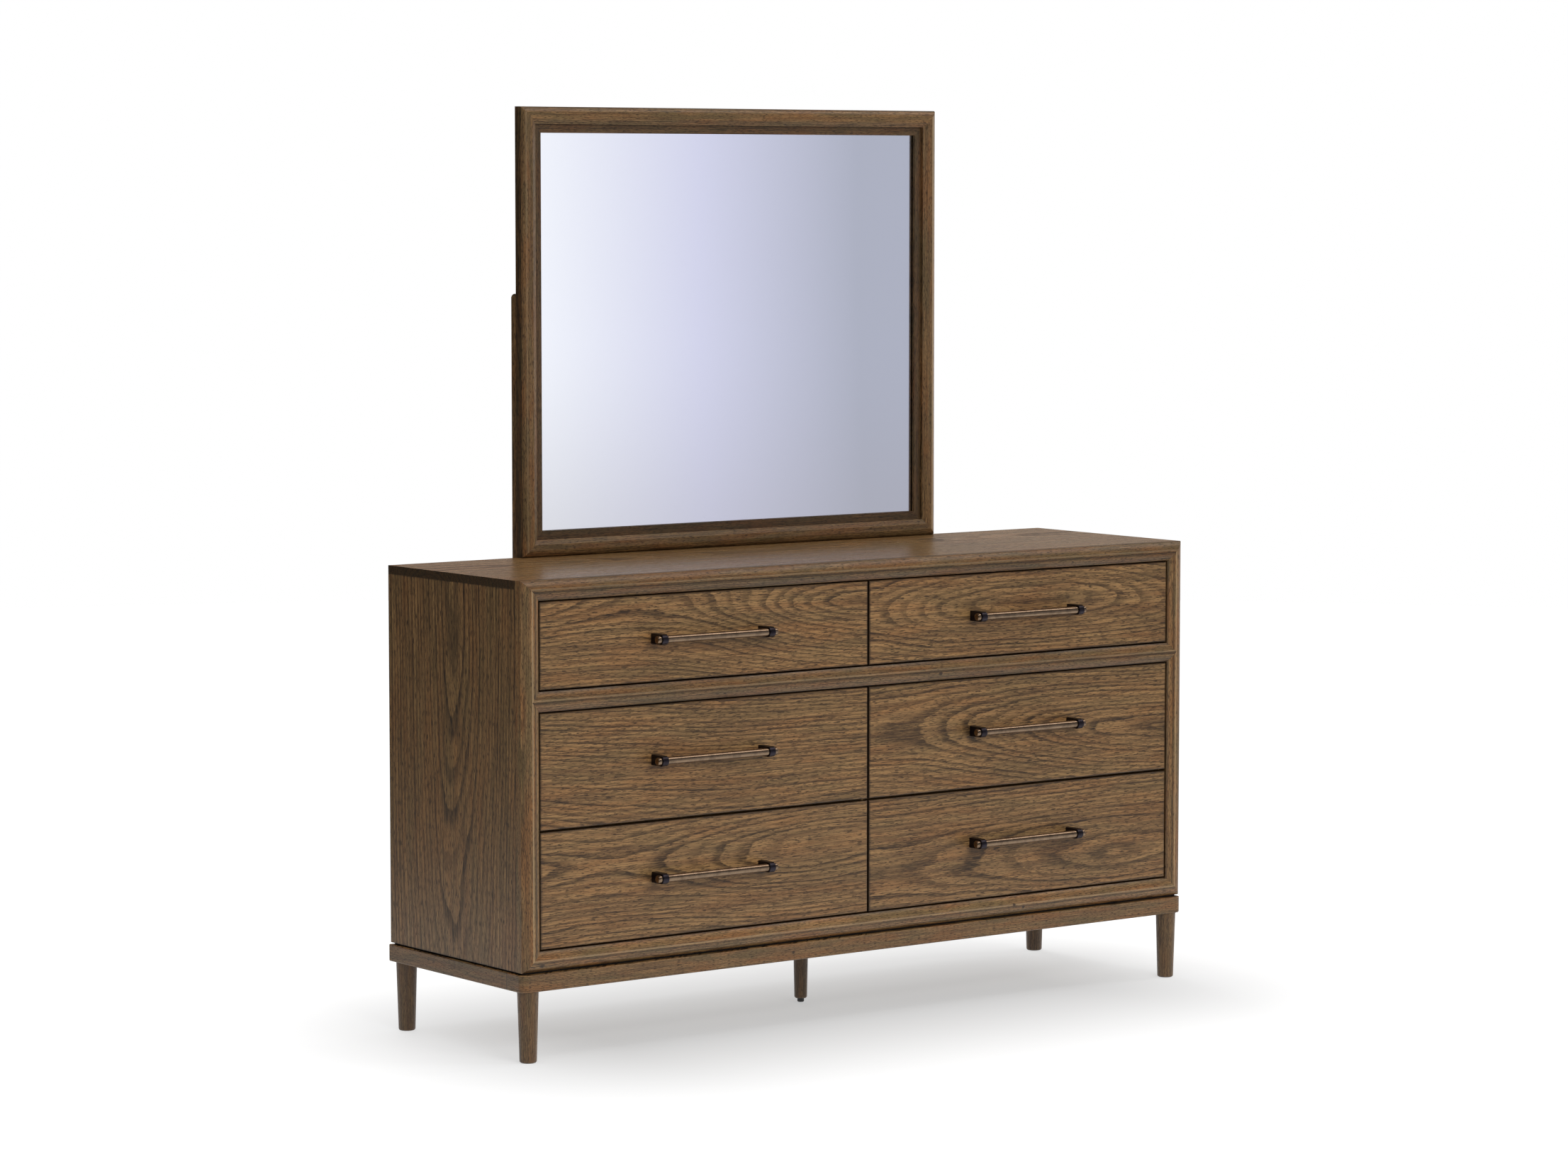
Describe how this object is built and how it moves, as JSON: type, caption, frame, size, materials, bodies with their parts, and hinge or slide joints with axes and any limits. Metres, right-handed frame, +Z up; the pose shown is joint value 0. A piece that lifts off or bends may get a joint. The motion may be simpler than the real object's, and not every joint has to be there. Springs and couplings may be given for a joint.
{
  "type": "dresser with mirror",
  "caption": "Low wide oak dresser with two columns of bar-pull drawers, crowned face frame, tapered round legs and a framed landscape mirror standing on its back edge.",
  "frame": {"origin": "on the floor, at the middle of the object's width and depth", "axes": "+Z up, the drawers face -Y, +X is the right-hand side seen from the front"},
  "size_m": [1.6076, 0.5118, 1.7555],
  "materials": {
    "oak_panel": "oak veneer, grey-brown stain, semi-gloss lacquer",
    "oak_frame": "solid oak, grey-brown stain, satin lacquer, burnished arrises",
    "oak_front": "cathedral-cut oak veneer, grey-brown stain, satin lacquer",
    "inner_board": "unfinished softwood and particle board",
    "drawer_board": "clear-sealed poplar and birch ply",
    "hardboard": "tempered hardboard, smooth face",
    "support_wood": "stained hardwood, dull",
    "zinc_steel": "bright zinc plate",
    "aged_brass": "aged brass, brushed along the bar",
    "dark_bronze": "dark bronze, satin",
    "mirror": "silvered float glass",
    "glide_plastic": "black moulded nylon"
  },
  "bodies": {
    "case": {"top_panel": "oak_panel", "left_side_panel": "oak_panel", "right_side_panel": "oak_panel", "left_stile": "oak_frame", "right_stile": "oak_frame", "top_rail": "oak_frame", "middle_rail": "oak_frame", "bottom_rail": "oak_frame", "centre_partition": "inner_board", "drawer_dividers": "inner_board", "case_bottom": "inner_board", "back_panel": "hardboard", "runner_battens": "inner_board", "case_runners": "zinc_steel", "base_front_rail": "oak_frame", "base_side_and_back_rails": "oak_frame", "base_stretchers": "inner_board", "base_corner_blocks": "inner_board", "front_legs": "oak_frame", "rear_legs": "oak_frame", "centre_leg": "oak_frame", "leg_bolts": "zinc_steel", "mirror_frame_top": "oak_frame", "mirror_frame_bottom": "oak_frame", "mirror_frame_sides": "oak_frame", "mirror_glass": "mirror", "mirror_backing": "hardboard", "mirror_supports": "support_wood", "support_screws": "zinc_steel"},
    "centre_glide": {"centre_leg_glide": "glide_plastic"},
    "drawer_top_left": {"drawer_front_top_left": "oak_front", "drawer_box_top_left": "drawer_board", "pull_bar_top_left": "aged_brass", "pull_posts_top_left": "dark_bronze", "drawer_runners_top_left": "zinc_steel"},
    "drawer_middle_left": {"drawer_front_middle_left": "oak_front", "drawer_box_middle_left": "drawer_board", "pull_bar_middle_left": "aged_brass", "pull_posts_middle_left": "dark_bronze", "drawer_runners_middle_left": "zinc_steel"},
    "drawer_bottom_left": {"drawer_front_bottom_left": "oak_front", "drawer_box_bottom_left": "drawer_board", "pull_bar_bottom_left": "aged_brass", "pull_posts_bottom_left": "dark_bronze", "drawer_runners_bottom_left": "zinc_steel"},
    "drawer_top_right": {"drawer_front_top_right": "oak_front", "drawer_box_top_right": "drawer_board", "pull_bar_top_right": "aged_brass", "pull_posts_top_right": "dark_bronze", "drawer_runners_top_right": "zinc_steel"},
    "drawer_middle_right": {"drawer_front_middle_right": "oak_front", "drawer_box_middle_right": "drawer_board", "pull_bar_middle_right": "aged_brass", "pull_posts_middle_right": "dark_bronze", "drawer_runners_middle_right": "zinc_steel"},
    "drawer_bottom_right": {"drawer_front_bottom_right": "oak_front", "drawer_box_bottom_right": "drawer_board", "pull_bar_bottom_right": "aged_brass", "pull_posts_bottom_right": "dark_bronze", "drawer_runners_bottom_right": "zinc_steel"}
  },
  "joints": [
    {"name": "drawer_top_left_slide", "type": "slide", "parent": "case", "child": "drawer_top_left", "axis": [0, -1, 0], "range_m": [0, 0.3]},
    {"name": "drawer_middle_left_slide", "type": "slide", "parent": "case", "child": "drawer_middle_left", "axis": [0, -1, 0], "range_m": [0, 0.3]},
    {"name": "drawer_bottom_left_slide", "type": "slide", "parent": "case", "child": "drawer_bottom_left", "axis": [0, -1, 0], "range_m": [0, 0.3]},
    {"name": "drawer_top_right_slide", "type": "slide", "parent": "case", "child": "drawer_top_right", "axis": [0, -1, 0], "range_m": [0, 0.3]},
    {"name": "drawer_middle_right_slide", "type": "slide", "parent": "case", "child": "drawer_middle_right", "axis": [0, -1, 0], "range_m": [0, 0.3]},
    {"name": "drawer_bottom_right_slide", "type": "slide", "parent": "case", "child": "drawer_bottom_right", "axis": [0, -1, 0], "range_m": [0, 0.3]},
    {"name": "centre_glide_screw", "type": "slide", "parent": "case", "child": "centre_glide", "axis": [0, 0, -1], "range_m": [0, 0.008]}
  ]
}
